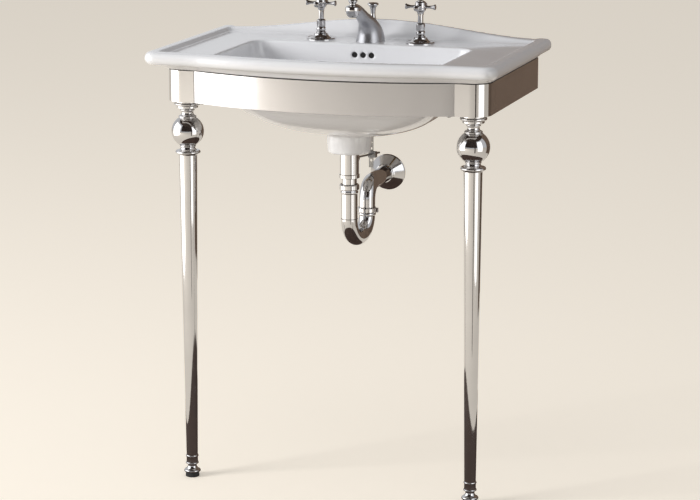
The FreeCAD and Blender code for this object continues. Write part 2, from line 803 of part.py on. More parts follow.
def foot_collar(x):
    bore = stud_radius + foot_running
    r = foot_collar_radius
    return ornament(x, leg_d, foot_collar_bottom, tube_bottom, (bore, 0), (r - 1.0, 0),
                    (r + 0.4, 0.09, r - 1.0, 0.18), (r - 1.0, 0.23), (r - 1.3, 0.5, r - 1.0, 0.78),
                    (r, 0.88, tube_bottom_radius, 1), (bore, 1))


def levelling_foot(x):
    low = foot_pad_height
    r = foot_radius
    stud_end = foot_top + foot_stud_length
    return turned(x, leg_d, (0, low), (foot_pad_radius, low), (r - 0.6, mix(low, foot_top, 0.07)),
                  (r, mix(low, foot_top, 0.19), r - 1.6, mix(low, foot_top, 0.33)),
                  (foot_neck + 2.2, mix(low, foot_top, 0.51), foot_neck, mix(low, foot_top, 0.76)),
                  (foot_neck, foot_top), (stud_radius, foot_top), (stud_radius, stud_end), (0, stud_end))


def foot_pad(x):
    r = foot_pad_radius
    return ornament(x, leg_d, 0, foot_pad_height, (0, 0), (r - 1.0, 0), (r, 0.11), (r - 0.6, 1), (0, 1))


# ---- taps ----

def valve_body(sign):
    x = sign * tap_x
    low = valve_bottom - inlet_length
    end = sign * (tap_x - port_reach)
    socket_end = sign * (tap_x - port_reach + port_socket)
    body = turned(x, tap_d, (0, low), (inlet_radius, low), (inlet_radius, valve_bottom),
                  (valve_radius, valve_bottom), (valve_radius, valve_top), (0, valve_top))
    port = along_x(port_radius, end, sign * (tap_x - valve_radius + 2 * over), tap_d, port_z)
    tools = [upright(inlet_bore, low - over, port_z + port_radius, x, tap_d),
             upright(spindle_radius + spindle_running, spindle_bottom - over, valve_top + over, x, tap_d),
             along_x(link_radius + link_fit, end - sign * over, socket_end, tap_d, port_z),
             along_x(link_radius - link_wall, end, x, tap_d, port_z)]
    return body.fuse(port).cut(tools)


# Bell flange on the deck, turned body and sleeve, hollow over the valve.
def tap_body(sign):
    z = deck_top
    r = flange_radius
    waist = body_radius
    top = z + flange_height
    shoulder = z + body_height
    spindle = spindle_radius + spindle_running
    inner = valve_radius + valve_fit
    roof = valve_top + valve_fit
    return turned(sign * tap_x, tap_d, (inner, z), (r, z), (r, mix(z, top, 0.15)),
                  (r - 1.4, mix(z, top, 0.3)), (mix(waist, r, 0.36), mix(z, top, 0.57), waist + 5.0, top),
                  (waist + 0.4, top + 0.6), (waist + 1.2, top + 1.8, waist + 0.4, top + 3.0),
                  (waist - 1.4, top + 3.6),
                  (waist + 0.5, mix(top, shoulder, 0.3), waist - 1.2, mix(top, shoulder, 0.47)),
                  (waist, mix(top, shoulder, 0.52)), (waist, mix(top, shoulder, 0.9)),
                  (waist - 1.6, shoulder - 0.6, sleeve_radius + 0.4, shoulder),
                  (sleeve_radius, shoulder + 0.6), (sleeve_radius, sleeve_top), (spindle, sleeve_top),
                  (spindle, roof), (inner, roof))


def tap_spindle(sign):
    return upright(spindle_radius, spindle_bottom, hub_top - hub_roof, sign * tap_x, tap_d)


# A hub with four flared arms.
def handle(sign):
    z0, z1 = hub_bottom, hub_top
    r = hub_radius
    bore = spindle_radius + spindle_fit
    start = z0 - hub_skirt
    roof = z1 - hub_roof
    hub = lathe((bore, start), (sleeve_radius + 0.8, start),
                (sleeve_radius + 1.2, start + hub_skirt / 2, r - 1.6, z0), (r, z0 + 3.0, r, z0 + 5.0),
                (r + 0.3, (z0 + z1) / 2, r, z1 - 5.0), (r - 0.6, z1 - 1.6, cap_radius + 0.6, z1), (0, z1),
                (0, roof), (bore, roof))
    half = arm_span / 2
    root = r - 3.0
    arm = lathe((0, root), (arm_root, root), (arm_waist, mix(root, half, 0.46), arm_end - 0.8, half - 3.4),
                (arm_end, half - 1.6, arm_end - 1.2, half - 0.5), (0, half))
    arm.rotate(V(0, 0, 0), V(0, 1, 0), 90)
    arm.translate(V(0, 0, mix(z0, z1, arm_level)))
    arms = []
    for k in range(4):
        turned_arm = arm.copy()
        turned_arm.rotate(V(0, 0, 0), up, 90 * k)
        arms.append(turned_arm)
    shape = hub.fuse(arms).removeSplitter().cut(upright(bore, start - over, roof, 0, wall_y))
    shape.translate(V(sign * tap_x, wall(tap_d), 0))
    return shape


def handle_cap(sign):
    edge = hub_top + cap_edge
    return turned(sign * tap_x, tap_d, (0, hub_top), (cap_radius, hub_top), (cap_radius, edge),
                  crown(cap_radius, edge, cap_crown))


def deck_nuts():
    high = deck_under - washer_thick
    low = high - nut_height
    return [hex_nut(valve_nut_width, valve_radius + valve_fit, low, high, -tap_x, tap_d),
            hex_nut(shank_nut_width, shank_radius + valve_fit, low, high, 0, shank_d),
            hex_nut(valve_nut_width, valve_radius + valve_fit, low, high, tap_x, tap_d)]


def deck_washers():
    low = deck_under - washer_thick
    rings = [pipe(tap_hole + washer_overhang, valve_radius + valve_fit, low, deck_under, sign * tap_x, tap_d)
             for sign in (-1, 1)]
    middle = upright(spout_hole + 2.5, low, deck_under, 0, spout_hole_d)
    middle = middle.cut([upright(shank_radius + valve_fit, low - over, deck_under + over, 0, shank_d),
                         upright(lift_radius + over, low - over, deck_under + over, 0, lift_d)])
    return [rings[0], middle, rings[1]]


def link_pipe(sign):
    near = sign * (port_reach - port_socket)
    far = sign * (tap_x - port_reach + port_socket)
    tube = along_x(link_radius, near, far, tap_d, port_z)
    return tube.cut(along_x(link_radius - link_wall, near - sign * over, far + sign * over, tap_d, port_z))


def link_nut(start):
    nut = hex_nut(link_nut_width, link_radius + link_fit, 0, link_nut_length, 0, wall_y)
    nut.rotate(V(0, 0, 0), V(0, 1, 0), 90)
    nut.translate(V(start, wall(tap_d), port_z))
    return nut


def link_nuts():
    far = tap_x - port_reach
    starts = (-far, -port_reach - link_nut_length, port_reach, far - link_nut_length)
    return [link_nut(start) for start in starts]


# ---- spout ----

# Rows of shares, from the foot to the end of the spout: the ridge's way out and up, the
# underside's way out and up, and how much of the foot's width is left.
spout_shape = [(0.0, 0.0, 0.0, 0.0, 1.0), (0.004, 0.048, -0.017, 0.063, 0.957),
               (0.036, 0.242, -0.061, 0.299, 0.784), (0.19, 0.479, 0.043, 0.488, 0.514),
               (0.433, 0.661, 0.304, 0.63, 0.27), (0.709, 0.836, 0.617, 0.795, 0.114),
               (1.0, 1.0, 1.0, 1.0, 0.0)]


def spout_section(ridge_out, ridge_up, under_out, under_up, width):
    rise = spout_end_z - deck_top
    ridge_d = mix(spout_d - spout_half_depth, spout_end_d, ridge_out)
    ridge_z = (rise + spout_end_radius) * ridge_up
    under_d = mix(spout_d + spout_half_depth, spout_end_d, under_out)
    under_z = (rise - spout_end_radius) * under_up
    half_width = mix(spout_end_radius, spout_half_width, width)
    half = math.hypot(ridge_d - under_d, ridge_z - under_z) / 2
    long_half = max(half, half_width + 0.01)
    ellipse = Part.Ellipse(V(0, long_half, 0), V(half_width, 0, 0), V(0, 0, 0)).toShape()
    tilt = math.degrees(math.atan2(ridge_z - under_z, under_d - ridge_d))
    ellipse.rotate(V(0, 0, 0), V(1, 0, 0), tilt)
    ellipse.translate(V(0, wall((ridge_d + under_d) / 2), deck_top + (ridge_z + under_z) / 2))
    return Part.Wire([ellipse])


def spout_body():
    shape = Part.makeLoft([spout_section(*row) for row in spout_shape], True, False, False, 3)
    guide = upright(lift_radius + guide_wall, deck_top + knob_rise / 2, knob_bottom - knob_gap, 0, lift_d)
    bends = [(shank_d, shank_top + waterway), (mix(shank_d, spout_end_d, 0.08), shank_top + 3 * waterway),
             (mix(shank_d, spout_end_d, 0.7), mix(shank_top, spout_end_z, 0.76)),
             (spout_end_d + over, spout_end_z)]
    tools = [upright(shank_radius + valve_fit, deck_top - over, shank_top + over, 0, shank_d),
             upright(waterway, shank_top, shank_top + waterway, 0, shank_d),
             upright(lift_radius + lift_running, deck_top - over, knob_bottom + over, 0, lift_d)]
    for (d0, z0), (d1, z1) in zip(bends, bends[1:]):
        start = V(0, wall(d0), z0)
        end = V(0, wall(d1), z1)
        tools.append(Part.makeSphere(waterway, start))
        tools.append(Part.makeCylinder(waterway, (end - start).Length, start, end - start))
    return shape.fuse(guide).cut(tools)


def spout_nozzle():
    z = nozzle_z
    r = nozzle_radius
    bore = nozzle_bore
    neck = nozzle_neck
    outlet = z - nozzle_outlet
    top = finial_radius
    shape = turned(0, nozzle_d, (0, outlet), (bore + 1.4, outlet), (r - 2.2, z - 9.8, r - 1.0, z - 5.6),
                   (r, z - 5.0), (r + 0.5, z, r, z + 4.4), (r - 2.4, z + 6.4, neck + 1.2, z + 7.6),
                   (neck, z + 10.0, neck + 1.2, z + 13.0), (top, z + 15.0),
                   (top + 0.6, z + 16.8, top - 0.6, z + 18.4), (finial_foot, z + 19.0),
                   crown(finial_foot, z + 19.0, finial_crown))
    arm = along_y(spout_end_radius + 0.2, nozzle_d, spout_end_d, 0, spout_end_z)
    passage = along_y(waterway, nozzle_d, spout_end_d - over, 0, spout_end_z)
    cavity = upright(bore, outlet - over, z - nozzle_drop + waterway, 0, nozzle_d)
    return shape.fuse(arm).cut([cavity, passage])


def aerator():
    low = nozzle_z - nozzle_outlet - aerator_lip
    high = low + aerator_height
    places = [(0.0, 0.0)]
    for k in range(aerator_count):
        angle = 2 * math.pi * k / aerator_count
        places.append((aerator_ring * math.cos(angle), aerator_ring * math.sin(angle)))
    holes = [upright(aerator_hole, low - over, high + over, x, nozzle_d + out) for x, out in places]
    return upright(nozzle_bore - link_fit, low, high, 0, nozzle_d).cut(holes)


# The threaded shank of the spout with the tee that the link pipes enter.
def spout_shank():
    tee = upright(tee_radius, port_z - tee_height / 2, port_z + tee_height / 2, 0, shank_d)
    shank = upright(shank_radius, port_z, shank_top, 0, shank_d)
    arms = along_x(port_radius, -port_reach, port_reach, tap_d, port_z)
    tools = [upright(shank_bore, port_z, shank_top + over, 0, shank_d),
             along_x(link_radius - link_wall, -port_reach, port_reach, tap_d, port_z)]
    for sign in (-1, 1):
        tools.append(along_x(link_radius + link_fit, sign * (port_reach - port_socket),
                             sign * (port_reach + over), tap_d, port_z))
    return tee.fuse([shank, arms]).cut(tools)


# ---- pop-up waste ----

def lift_knob():
    z = knob_bottom
    top = z + knob_height
    r = knob_radius
    neck = knob_neck
    shape = turned(0, lift_d, (0, z), (neck - 0.6, z), (neck, mix(z, top, 0.03)),
                   (neck - 0.8, mix(z, top, 0.33), neck, mix(z, top, 0.57)),
                   (neck + 1.0, mix(z, top, 0.7), r - 1.2, mix(z, top, 0.83)), (r, mix(z, top, 0.87)),
                   (r - 0.4, mix(z, top, 0.95), r - 2.6, mix(z, top, 0.99)), (0, top))
    return shape.cut(upright(lift_radius + spindle_fit, z - over, z + knob_socket, 0, lift_d))


def lift_rod():
    return upright(lift_radius, strap_top - clamp_height - over, knob_bottom + knob_socket, 0, lift_d)


def lift_strap():
    front = strap_d + strap_thick / 2
    back = strap_d - strap_thick / 2
    bar = box(-strap_width / 2, strap_width / 2, front, back, strap_bottom, strap_top)
    clamp = box(-strap_width / 2, strap_width / 2, front, lift_d - lift_radius - clamp_wall,
                strap_top - clamp_height, strap_top)
    tools = [upright(lift_radius + spindle_fit, strap_top - clamp_height - over, strap_top + over, 0, lift_d),
             along_y(clamp_screw, front + over, lift_d, 0, strap_top - clamp_height / 2)]
    lowest = math.ceil((strap_bottom + strap_margin - rod_at_strap) / strap_pitch)
    highest = math.floor((strap_top - clamp_height - strap_margin - rod_at_strap) / strap_pitch)
    for k in range(lowest, highest + 1):
        tools.append(along_y(pivot_rod + strap_slack, front + over, back - over, 0,
                             rod_at_strap + k * strap_pitch))
    return bar.fuse(clamp).removeSplitter().cut(tools)


def strap_screw():
    start = strap_d + strap_thick / 2
    z = strap_top - clamp_height / 2
    head = along_y(clamp_screw_head, start + clamp_screw_head_long, start, 0, z)
    shank = along_y(clamp_screw, start, lift_d + lift_radius + spindle_fit, 0, z)
    return head.fuse(shank).removeSplitter()


# What rides on the pivot ball is drawn with the rod level and then tilted to its rest.
def tilted(shape):
    shape.rotate(V(0, wall(pivot_d), pivot_z), V(1, 0, 0), -pivot_rest)
    return shape


def pivot_arm():
    front = pivot_d + pivot_reach + pivot_rod_end
    ball = Part.makeSphere(pivot_ball, V(0, wall(pivot_d), pivot_z))
    rod = along_y(pivot_rod, front, pivot_d - pivot_tail, 0, pivot_z)
    return tilted(ball.fuse(rod).removeSplitter())


# A bent strip that grips the rod on either side of the strap.
def spring_clip():
    centre = pivot_d - (pivot_d - strap_d) / math.cos(rest_angle)
    low = pivot_z - clip_half_height
    high = pivot_z + clip_half_height
    half = clip_gap + clip_thick / 2
    sheet = box(-strap_width / 2, clip_reach, centre + half, centre - half, low, high)
    gap = box(-strap_width, clip_reach - clip_thick, centre + half - clip_thick, centre - half + clip_thick,
              low - over, high + over)
    hole = along_y(pivot_rod + clip_fit, centre + half + over, centre - half - over, 0, pivot_z)
    return tilted(sheet.cut([gap, hole]))


def pivot_nut():
    seat = pivot_d - pivot_port_reach
    back = seat - pivot_nut_cap
    front = back + pivot_nut_length
    return along_y(pivot_nut_radius, front, back, 0, pivot_z).cut(
        [along_y(pivot_port + valve_fit, front + over, seat, 0, pivot_z),
         along_y(pivot_ball - over / 2, seat + over, back - over, 0, pivot_z)])


def waste_body():
    z = body_bottom
    ring_top = z + tail_ring_height
    bore = tail_radius + tail_fit
    shape = turned(0, waste_d, (bore, z), (tail_ring - 0.8, z), (tail_ring, z + 0.8),
                   (tail_ring, ring_top - 1.2), (waste_tube, ring_top), (waste_tube, body_top),
                   (waste_bore, body_top), (waste_bore, ring_top + over), (bore, ring_top + over))
    port_end = pivot_d - pivot_port_reach
    port = along_y(pivot_port, waste_d - waste_bore - over, port_end, 0, pivot_z)
    return shape.fuse(port).cut([along_y(pivot_ball + pivot_running, waste_d, port_end - over, 0, pivot_z),
                                 upright(waste_bore, ring_top + over, body_top, 0, waste_d)])


def waste_flange():
    z = bowl_bottom
    low = z - flange_length
    inner = waste_tube + waste_fit
    shape = turned(0, waste_d, (inner, low), (waste_thread, low), (waste_thread, z), (flange_lip, z),
                   (flange_lip, z + 0.8), (flange_lip - 4.0, lip_top - 0.4, flange_lip - 9.0, lip_top),
                   (waste_bore + 4.5, lip_top), (waste_bore, z - 8.0), (waste_bore, body_top),
                   (inner, body_top))
    slot = box(-slot_width / 2, slot_width / 2, waste_d - waste_bore / 2, waste_d - waste_thread - over,
               z - slot_drop - slot_height / 2, z - slot_drop + slot_height / 2)
    return shape.cut(slot)


def waste_seal():
    low = recess_top - waste_seal_thick
    return pipe(boss_recess - 2.0, waste_thread + valve_fit, low, recess_top, 0, waste_d)


def waste_nut():
    top = recess_top - waste_seal_thick
    return hex_nut(waste_nut_width, waste_thread + valve_fit, top - waste_nut_height, top, 0, waste_d)


# The stopper stands open at rest: its cap is above the flange and its eye holds the pivot rod.
def stopper():
    seat = stopper_seat
    edge = seat + stopper_edge
    cap = turned(0, waste_d, (0, seat), (stopper_radius - 1.0, seat), (stopper_radius, edge),
                 crown(stopper_radius, edge, stopper_crown))
    stem = upright(stopper_stem, eye_z + stopper_eye + stopper_eye_wall / 2, seat, 0, waste_d)
    half = stopper_eye_thick / 2
    eye = along_y(stopper_eye + stopper_eye_wall, waste_d + half, waste_d - half, 0, eye_z)
    fins = []
    for k in range(3):
        fin = Part.makeBox(stopper_fin, stopper_fin_thick, stopper_fin_height,
                           V(0, -stopper_fin_thick / 2, seat - 2 * stopper_fin_height))
        fin.rotate(V(0, 0, 0), up, 90 + 120 * k)
        fin.translate(V(0, wall(waste_d), 0))
        fins.append(fin)
    return cap.fuse([stem, eye] + fins).cut(along_y(stopper_eye, waste_d + half + over, waste_d - half - over,
                                                    0, eye_z))


def stopper_seal():
    low = stopper_seat - stopper_seal_thick
    return pipe(stopper_seal_radius, stopper_stem + spindle_fit, low, stopper_seat, 0, waste_d)


def tailpiece():
    top = body_bottom + tail_ring_height
    return pipe(tail_radius, tail_radius - tail_wall, top - tail_length, top, 0, waste_d)


# ---- trap ----

def inlet_tube():
    return pipe(trap_tube, trap_tube - trap_wall, trap_joint, trap_inlet_top, 0, waste_d)


def inlet_nut():
    top = inlet_nut_top
    low = top - inlet_nut_height
    r = inlet_nut_radius
    fit = trap_tube + trap_fit
    tail = tail_radius + trap_fit
    seat = trap_inlet_top + slip_seal_thick
    return turned(0, waste_d, (fit, low), (fit + 0.6, low),
                  (fit + 1.2, mix(low, top, 0.13), fit + 0.6, mix(low, top, 0.27)),
                  (fit + 0.4, mix(low, top, 0.36)), (r - 1.2, mix(low, top, 0.39)), (r, mix(low, top, 0.47)),
                  (r, mix(low, top, 0.89)), (r - 1.6, top), (tail, top), (tail, seat), (fit, seat))


def slip_seal():
    return pipe(trap_tube, tail_radius, trap_inlet_top, trap_inlet_top + slip_seal_thick, 0, waste_d)


# The bend's plane is turned a little to the right, so that its outlet clears the waste.
def bend_solid(radius):
    circle = outline(Part.Circle(V(0, wall(waste_d), trap_centre), up, radius))
    middle = V(trap_side / 2, wall((waste_d + trap_outlet_d) / 2), trap_centre)
    half_turn = Part.Face(circle).revolve(middle, V(waste_d - trap_outlet_d, -trap_side, 0), 180)
    return half_turn.fuse([upright(radius, trap_centre, trap_joint, 0, waste_d),
                           upright(radius, trap_centre, trap_outlet_z, trap_side, trap_outlet_d)])


def trap_bend():
    return bend_solid(trap_tube).cut(bend_solid(trap_tube - trap_wall))


def outlet_nut():
    top = outlet_nut_top
    low = top - outlet_nut_height
    r = outlet_nut_radius
    fit = trap_tube + outlet_nut_fit
    nut = turned(trap_side, trap_outlet_d, (fit, low), (fit + 0.5, low),
                 (fit + 1.2, mix(low, top, 0.16), fit + 0.5, mix(low, top, 0.32)),
                 (r - 1.0, mix(low, top, 0.38)), (r, mix(low, top, 0.45)), (r, mix(low, top, 0.87)),
                 (r - 1.4, top), (fit, top))
    right = trap_side + r
    lug = box(right - over, right + lug_reach, trap_outlet_d + lug_thick / 2, trap_outlet_d - lug_thick / 2,
              mix(low, top, 0.39), top - over)
    return nut.fuse(lug)


def arm_solid(radius):
    start = V(trap_side, wall(trap_outlet_d), arm_height - arm_bend)
    circle = outline(Part.Circle(start, up, radius))
    elbow = Part.Face(circle).revolve(start + V(0, arm_bend, 0), V(-1, 0, 0), 90)
    low = trap_outlet_z + trap_joint_gap
    return elbow.fuse([upright(radius, low, arm_height - arm_bend, trap_side, trap_outlet_d),
                       along_y(radius, trap_outlet_d - arm_bend, 0, trap_side, arm_height)])


def trap_arm():
    ring = along_y(trap_tube + over, arm_spigot, -over, trap_side, arm_height)
    ring = ring.cut(along_y(trap_tube - arm_draw, arm_spigot + over, -2 * over, trap_side, arm_height))
    return arm_solid(trap_tube).cut([arm_solid(trap_tube - trap_wall), ring])


# A hollow bell against the wall with a collar round the trap's arm.
def escutcheon():
    r = escutcheon_radius
    c = escutcheon_collar
    deep = escutcheon_depth
    bore = trap_tube + trap_fit
    shape = lathe((r - escutcheon_wall, 0), (r, 0), (r, 0.08 * deep), (r - 1.2, 0.15 * deep),
                  (c + 7.0, 0.52 * deep, c + 1.4, 0.74 * deep), (c, 0.78 * deep), (c, 0.97 * deep),
                  (c - 0.8, deep), (bore, deep), (bore, 0.74 * deep),
                  (c + 5.0, 0.48 * deep, r - 1.2 - escutcheon_wall, 0.11 * deep))
    shape.rotate(V(0, 0, 0), V(1, 0, 0), 90)
    shape.translate(V(trap_side, wall(0), arm_height))
    return shape


os.makedirs("parts", exist_ok=True)

save("basin", basin())
save("front_rail", front_rail())
save("corner_post_left", mirrored(corner_post()))
save("corner_post_right", corner_post())
save("side_rail_left", mirrored(side_rail()))
save("side_rail_right", side_rail())
save("wall_brackets", mirrored(wall_bracket()), wall_bracket())
save("rail_screws", *rail_screws())
save("basin_pads", *basin_pads())

save("leg_collars", leg_collar(-leg_x), leg_collar(leg_x))
save("leg_rings", leg_ring(-leg_x), leg_ring(leg_x))
save("leg_studs", leg_stud(-leg_x), leg_stud(leg_x))
save("foot_collars", foot_collar(-leg_x), foot_collar(leg_x))
for side_name, sign in (("left", -1), ("right", 1)):
    save("leg_ball_" + side_name, leg_ball(sign * leg_x))
    save("leg_tube_" + side_name, leg_tube(sign * leg_x))
    save("levelling_foot_" + side_name, levelling_foot(sign * leg_x))
    save("foot_pad_" + side_name, foot_pad(sign * leg_x))
    save("valve_body_" + side_name, valve_body(sign))
    save("tap_body_" + side_name, tap_body(sign))
    save("tap_spindle_" + side_name, tap_spindle(sign))
    save("handle_" + side_name, handle(sign))
    save("handle_cap_" + side_name, handle_cap(sign))
save("deck_nuts", *deck_nuts())
save("deck_washers", *deck_washers())
save("link_pipes", link_pipe(-1), link_pipe(1))
save("link_nuts", *link_nuts())

save("spout_body", spout_body())
save("spout_nozzle", spout_nozzle())
save("aerator", aerator())
save("spout_shank", spout_shank())

save("lift_knob", lift_knob())
save("lift_rod", lift_rod())
save("lift_strap", lift_strap())
save("strap_screw", strap_screw())
save("spring_clip", spring_clip())
save("pivot_rod", pivot_arm())
save("pivot_nut", pivot_nut())
save("stopper", stopper())
save("stopper_seal", stopper_seal())
save("waste_flange", waste_flange())
save("waste_body", waste_body())
save("waste_seal", waste_seal())
save("waste_nut", waste_nut())
save("tailpiece", tailpiece())

save("trap_inlet_tube", inlet_tube())
save("trap_inlet_nut", inlet_nut())
save("trap_slip_seal", slip_seal())
save("trap_bend", trap_bend())
save("trap_outlet_nut", outlet_nut())
save("trap_arm", trap_arm())
save("escutcheon", escutcheon())
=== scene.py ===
import bpy
import json
import math
from mathutils import Matrix, Vector
from mathutils.bvhtree import BVHTree

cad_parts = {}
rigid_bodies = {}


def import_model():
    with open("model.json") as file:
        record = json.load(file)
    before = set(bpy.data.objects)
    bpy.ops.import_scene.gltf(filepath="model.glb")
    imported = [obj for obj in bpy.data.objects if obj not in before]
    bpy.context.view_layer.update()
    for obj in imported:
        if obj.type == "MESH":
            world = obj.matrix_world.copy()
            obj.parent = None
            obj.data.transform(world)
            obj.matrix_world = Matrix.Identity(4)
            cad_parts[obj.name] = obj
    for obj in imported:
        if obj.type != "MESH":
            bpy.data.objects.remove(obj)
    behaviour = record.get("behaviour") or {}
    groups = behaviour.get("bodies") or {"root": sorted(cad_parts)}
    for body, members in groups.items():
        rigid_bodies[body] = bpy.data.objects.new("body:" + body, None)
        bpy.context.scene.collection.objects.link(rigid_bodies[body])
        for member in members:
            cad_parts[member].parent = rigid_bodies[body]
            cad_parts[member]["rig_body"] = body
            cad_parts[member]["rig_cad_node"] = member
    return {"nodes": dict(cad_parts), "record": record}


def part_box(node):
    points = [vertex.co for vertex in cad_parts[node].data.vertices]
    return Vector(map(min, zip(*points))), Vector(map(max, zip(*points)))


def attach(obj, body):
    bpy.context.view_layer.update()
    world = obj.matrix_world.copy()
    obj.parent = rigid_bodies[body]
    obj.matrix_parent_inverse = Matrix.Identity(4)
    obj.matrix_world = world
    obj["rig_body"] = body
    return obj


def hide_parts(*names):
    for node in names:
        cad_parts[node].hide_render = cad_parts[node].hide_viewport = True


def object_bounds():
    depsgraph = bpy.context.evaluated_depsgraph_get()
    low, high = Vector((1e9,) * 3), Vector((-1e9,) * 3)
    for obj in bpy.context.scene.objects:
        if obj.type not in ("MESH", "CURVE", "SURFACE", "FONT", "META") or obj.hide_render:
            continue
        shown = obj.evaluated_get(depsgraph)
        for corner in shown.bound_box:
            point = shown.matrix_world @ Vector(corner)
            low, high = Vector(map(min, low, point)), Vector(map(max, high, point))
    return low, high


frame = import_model()
nodes = frame["nodes"]
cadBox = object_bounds()
print("console sink: model loaded")


# materials: every finish on the sink is built from noise in Object coordinates

def newMaterial(name):
    material = bpy.data.materials.new(name)
    material.use_nodes = True
    tree = material.node_tree
    shader = tree.nodes["Principled BSDF"]
    return material, tree, shader


def addNoise(tree, scale, detail=4.0):
    place = tree.nodes.new("ShaderNodeTexCoord")
    noise = tree.nodes.new("ShaderNodeTexNoise")
    noise.inputs["Scale"].default_value = scale
    noise.inputs["Detail"].default_value = detail
    tree.links.new(place.outputs["Object"], noise.inputs["Vector"])
    return noise.outputs["Fac"]


def addRange(tree, source, low, high, start=0.35, end=0.65):
    spread = tree.nodes.new("ShaderNodeMapRange")
    spread.inputs["From Min"].default_value = start
    spread.inputs["From Max"].default_value = end
    spread.inputs["To Min"].default_value = low
    spread.inputs["To Max"].default_value = high
    tree.links.new(source, spread.inputs["Value"])
    return spread.outputs["Result"]


def addColours(tree, source, first, last, start=0.3, end=0.7):
    ramp = tree.nodes.new("ShaderNodeValToRGB")
    ramp.color_ramp.elements[0].position = start
    ramp.color_ramp.elements[1].position = end
    ramp.color_ramp.elements[0].color = (*first, 1.0)
    ramp.color_ramp.elements[1].color = (*last, 1.0)
    tree.links.new(source, ramp.inputs["Fac"])
    return ramp.outputs["Color"]


def addBump(tree, shader, source, strength, distance):
    bump = tree.nodes.new("ShaderNodeBump")
    bump.inputs["Strength"].default_value = strength
    bump.inputs["Distance"].default_value = distance
    tree.links.new(source, bump.inputs["Height"])
    tree.links.new(bump.outputs["Normal"], shader.inputs["Normal"])


# patches that change the colour and the roughness together
def addPatches(tree, shader, look):
    patches = addNoise(tree, look["patches"])
    tree.links.new(addColours(tree, patches, look["first"], look["last"]), shader.inputs["Base Color"])
    tree.links.new(addRange(tree, patches, *look["rough"]), shader.inputs["Roughness"])
    return patches


metalGrain = {"scale": 320.0, "detail": 2.0, "deep": 0.0002}
metalFinishes = {
    "chromePlate": {"first": (0.56, 0.555, 0.56), "last": (0.61, 0.605, 0.61), "rough": (0.04, 0.08),
                    "patches": 14.0, "wave": 0.04},
    "satinChrome": {"first": (0.52, 0.515, 0.53), "last": (0.57, 0.565, 0.58), "rough": (0.13, 0.17),
                    "patches": 9.0, "wave": 0.04},
    "smoothSpout": {"first": (0.50, 0.505, 0.53), "last": (0.54, 0.545, 0.57), "rough": (0.36, 0.42),
                    "patches": 22.0, "wave": 0.05},
    "zincPlate": {"first": (0.27, 0.265, 0.26), "last": (0.38, 0.375, 0.37), "rough": (0.25, 0.42),
                  "patches": 60.0, "wave": 0.1},
    "bareBrass": {"first": (0.62, 0.43, 0.16), "last": (0.74, 0.54, 0.25), "rough": (0.18, 0.34),
                  "patches": 45.0, "wave": 0.08},
    "drawnCopper": {"first": (0.62, 0.27, 0.15), "last": (0.78, 0.42, 0.27), "rough": (0.16, 0.32),
                    "patches": 40.0, "wave": 0.08},
}


def metalMaterial(name):
    look = metalFinishes[name]
    material, tree, shader = newMaterial(name)
    shader.inputs["Metallic"].default_value = 1.0
    addPatches(tree, shader, look)
    grain = addNoise(tree, metalGrain["scale"], metalGrain["detail"])
    addBump(tree, shader, grain, look["wave"], metalGrain["deep"])
    return material


glaze = {"first": (0.84, 0.84, 0.855), "last": (0.875, 0.875, 0.89), "rough": (0.10, 0.16), "patches": 6.0,
         "ior": 1.52, "coat": 0.35, "coatRough": 0.05,
         "ripples": 28.0, "rippleDetail": 1.0, "rippleStrength": 0.12, "rippleDeep": 0.0006}


def glazeMaterial(name):
    material, tree, shader = newMaterial(name)
    addPatches(tree, shader, glaze)
    shader.inputs["IOR"].default_value = glaze["ior"]
    shader.inputs["Coat Weight"].default_value = glaze["coat"]
    shader.inputs["Coat Roughness"].default_value = glaze["coatRough"]
    ripple = addNoise(tree, glaze["ripples"], glaze["rippleDetail"])
    addBump(tree, shader, ripple, glaze["rippleStrength"], glaze["rippleDeep"])
    return material


softGrain = {"strength": 0.3, "deep": 0.0003}
softFinishes = {
    "blackRubber": {"first": (0.018, 0.018, 0.018), "last": (0.045, 0.045, 0.045), "rough": (0.6, 0.85),
                    "patches": 120.0},
    # a near-black finish of painted shade, for the cups in the overflow bores and the rings at the trap's
    # joints and nut edges
    "paintedShade": {"first": (0.010, 0.010, 0.010), "last": (0.022, 0.021, 0.020), "rough": (0.7, 0.9),
                 "patches": 150.0},
    "greyPlastic": {"first": (0.30, 0.30, 0.31), "last": (0.38, 0.38, 0.39), "rough": (0.4, 0.55),
                    "patches": 200.0},
}


def softMaterial(name):
    material, tree, shader = newMaterial(name)
    patches = addPatches(tree, shader, softFinishes[name])
    addBump(tree, shader, patches, softGrain["strength"], softGrain["deep"])
    return material


chromePlate = metalMaterial("chromePlate")
satinChrome = metalMaterial("satinChrome")
smoothSpout = metalMaterial("smoothSpout")
zincPlate = metalMaterial("zincPlate")
bareBrass = metalMaterial("bareBrass")
drawnCopper = metalMaterial("drawnCopper")
whiteGlaze = glazeMaterial("whiteGlaze")
blackRubber = softMaterial("blackRubber")
greyPlastic = softMaterial("greyPlastic")
paintedShade = softMaterial("paintedShade")
slotMaterials = {"ceramic": whiteGlaze, "chrome": chromePlate, "steel": zincPlate, "brass": bareBrass,
                 "copper": drawnCopper, "rubber": blackRubber, "plastic": greyPlastic}
ownFinish = {"front_rail": satinChrome, "spout_body": smoothSpout}  # duller than their slot's finish
for part in frame["record"]["subparts"]:
    carried = nodes[part["node"]].data
    carried.materials.clear()
    carried.materials.append(ownFinish.get(part["node"], slotMaterials[part["material_slot"]]))
print("console sink: materials done")


# steps that several pieces share

weldGap = 0.00002  # corners nearer than this become one


def onlySelect(thing):
    bpy.ops.object.select_all(action="DESELECT")
    thing.select_set(True)
    bpy.context.view_layer.objects.active = thing


def applyModifier(piece, kind, **settings):
    onlySelect(piece)
    modifier = piece.modifiers.new(kind.lower(), kind)
    for key, value in settings.items():
        setattr(modifier, key, value)
    bpy.ops.object.modifier_apply(modifier=modifier.name)


